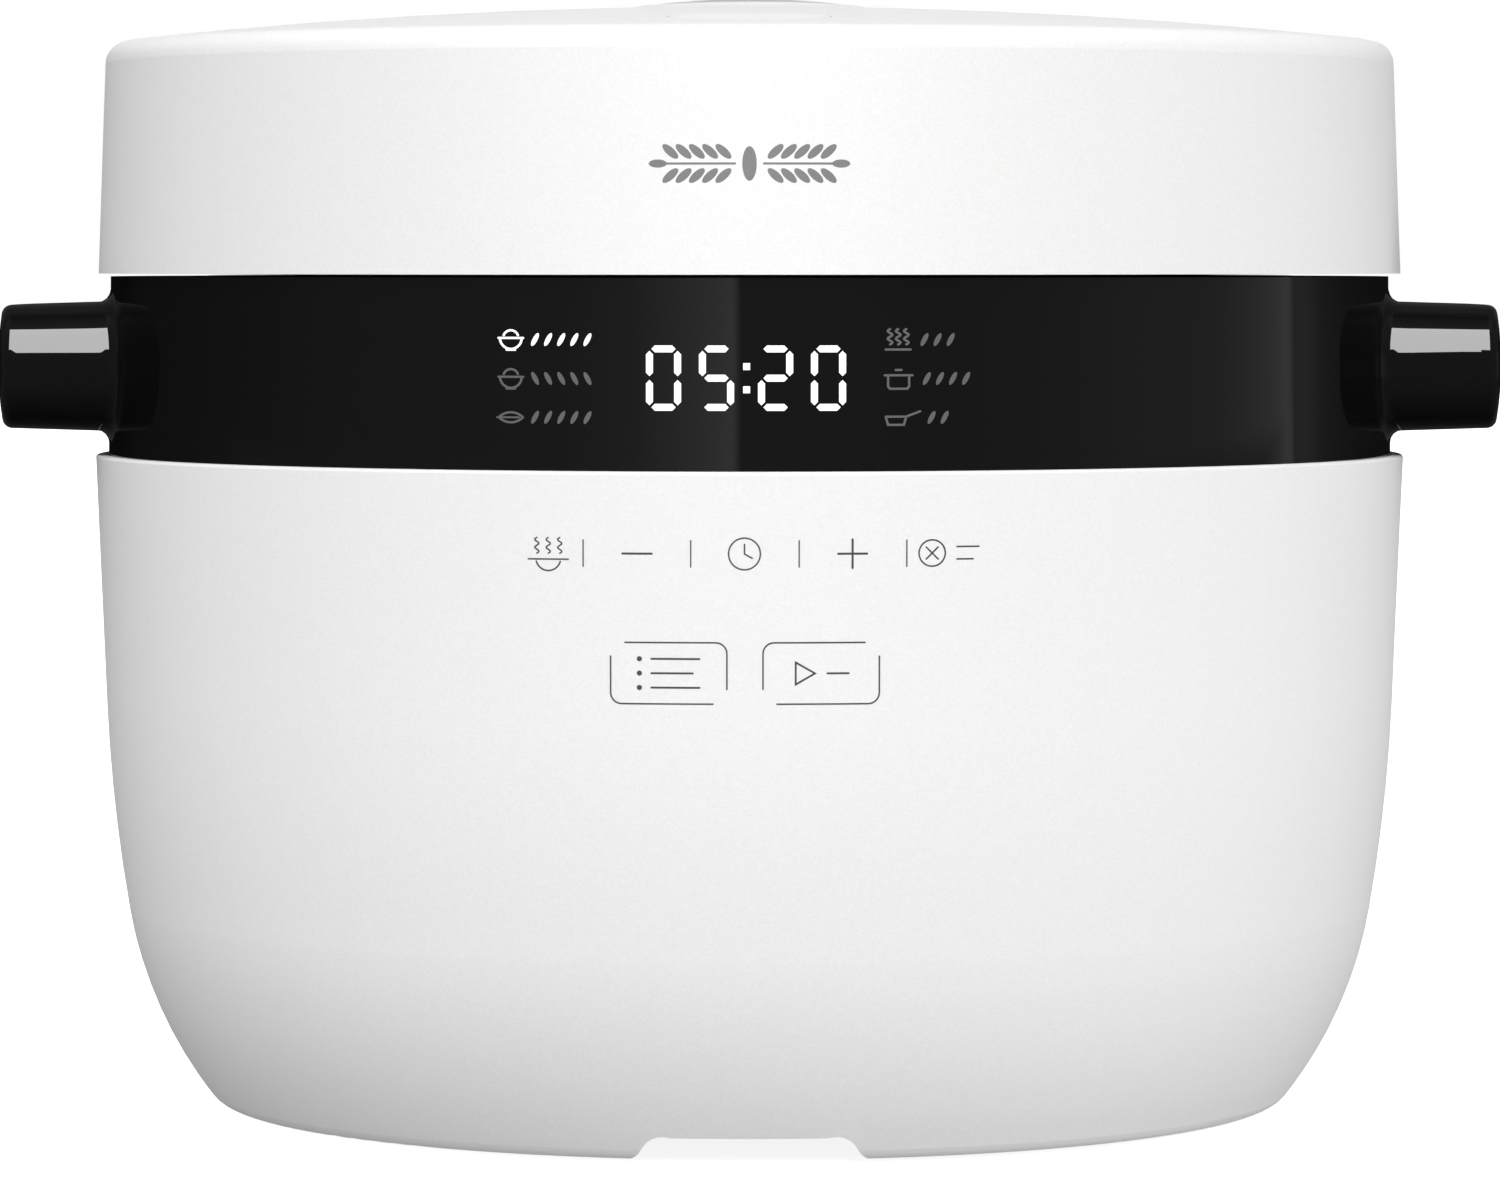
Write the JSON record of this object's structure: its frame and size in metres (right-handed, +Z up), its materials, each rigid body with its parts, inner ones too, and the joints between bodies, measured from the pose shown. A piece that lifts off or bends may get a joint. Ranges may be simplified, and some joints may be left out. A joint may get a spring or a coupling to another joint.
{
  "type": "rice cooker",
  "caption": "Round rice cooker: hinged domed lid with latch button and lift-off steam vent cap, black band with side handles, lift-out pot over a heating plate, sprung sensor and rear drip cup.",
  "frame": {"origin": "on the pot's vertical axis, in the plane the rubber feet stand on", "axes": "+X to the right seen from the front, the front with the display faces -Y, +Z up"},
  "size_m": [0.3403, 0.3134, 0.2511],
  "materials": {
    "shell_white": "satin",
    "gloss_black": "high gloss",
    "vent_grey": "satin",
    "matte_black": "fine texture",
    "pot_coating": "non-stick coating, speckled",
    "plate_aluminium": "turned",
    "sheet_steel": "plain sheet",
    "bright_steel": "bright zinc",
    "silicone": "translucent",
    "foot_rubber": "matte",
    "circuit_green": "solder mask",
    "display_glass": "smoked",
    "film_clear": "polyimide film",
    "component_blue": "moulded",
    "component_dark": "moulded",
    "terminal_white": "moulded"
  },
  "bodies": {
    "cooker_body": {"base_plate": "matte_black", "base_screws": "bright_steel", "board_standoffs": "component_dark", "control_board": "circuit_green", "cup_rails": "matte_black", "display_module": "display_glass", "drain_spout": "matte_black", "filter_capacitor": "component_dark", "handle_band": "gloss_black", "heat_shield": "sheet_steel", "heating_element": "sheet_steel", "heating_plate": "plate_aluminium", "hinge_housing": "matte_black", "hinge_pin": "bright_steel", "hinge_screws": "bright_steel", "hinge_spring": "bright_steel", "inlet_pins": "bright_steel", "inlet_shell": "matte_black", "inner_pot": "pot_coating", "latch_keeper": "sheet_steel", "mode_lamp_blocks": "display_glass", "outer_housing": "shell_white", "pot_deck": "matte_black", "pot_liner": "sheet_steel", "power_board": "circuit_green", "power_relay": "component_blue", "rubber_foot_back_left": "foot_rubber", "rubber_foot_back_right": "foot_rubber", "rubber_foot_front_left": "foot_rubber", "rubber_foot_front_right": "foot_rubber", "sensor_sleeve": "sheet_steel", "sensor_spring": "bright_steel", "support_posts": "sheet_steel", "terminal_block": "terminal_white", "thermal_fuse": "terminal_white", "touch_film": "film_clear", "transformer": "component_dark"},
    "lid": {"lid_cover": "shell_white", "lid_inner_cover": "matte_black", "lid_screws": "bright_steel", "inner_lid_plate": "plate_aluminium", "lid_gasket": "silicone", "vent_housing": "matte_black", "vent_seal": "silicone", "lid_hinge_arm": "sheet_steel", "lid_sensor": "bright_steel", "latch_guide": "matte_black", "latch_spring": "bright_steel", "button_spring": "bright_steel"},
    "release_button": {"release_button": "shell_white"},
    "latch": {"latch_slider": "matte_black"},
    "vent_cap": {"vent_cap": "vent_grey"},
    "condensate_cup": {"condensate_cup": "matte_black"},
    "sensor": {"sensor_plunger": "plate_aluminium"}
  },
  "joints": [
    {"name": "lid_hinge", "type": "hinge", "parent": "cooker_body", "child": "lid", "pos_m": [0, 0.156, 0.19095], "axis": [-1, 0, 0], "range_deg": [0, 95]},
    {"name": "button_press", "type": "slide", "parent": "lid", "child": "release_button", "axis": [0, 0, -1], "range_m": [0, 0.003], "stiffness_N_per_m": 500, "springref_m": -0.002, "deforming": ["button_spring"]},
    {"name": "latch_slide", "type": "slide", "parent": "lid", "child": "latch", "axis": [0, -1, 0], "range_m": [0, 0.003], "deforming": ["latch_spring"]},
    {"name": "vent_cap_lift", "type": "slide", "parent": "lid", "child": "vent_cap", "axis": [0, 0, 1], "range_m": [0, 0.03]},
    {"name": "condensate_cup_pull", "type": "slide", "parent": "cooker_body", "child": "condensate_cup", "axis": [0, 1, 0], "range_m": [0, 0.06]},
    {"name": "sensor_press", "type": "slide", "parent": "cooker_body", "child": "sensor", "axis": [0, 0, 1], "range_m": [-0.002, 0], "stiffness_N_per_m": 300, "springref_m": 0.002, "deforming": ["sensor_spring"]}
  ],
  "couplings": [
    {"joint": "latch_slide", "follows": "button_press", "ratio": 1}
  ]
}
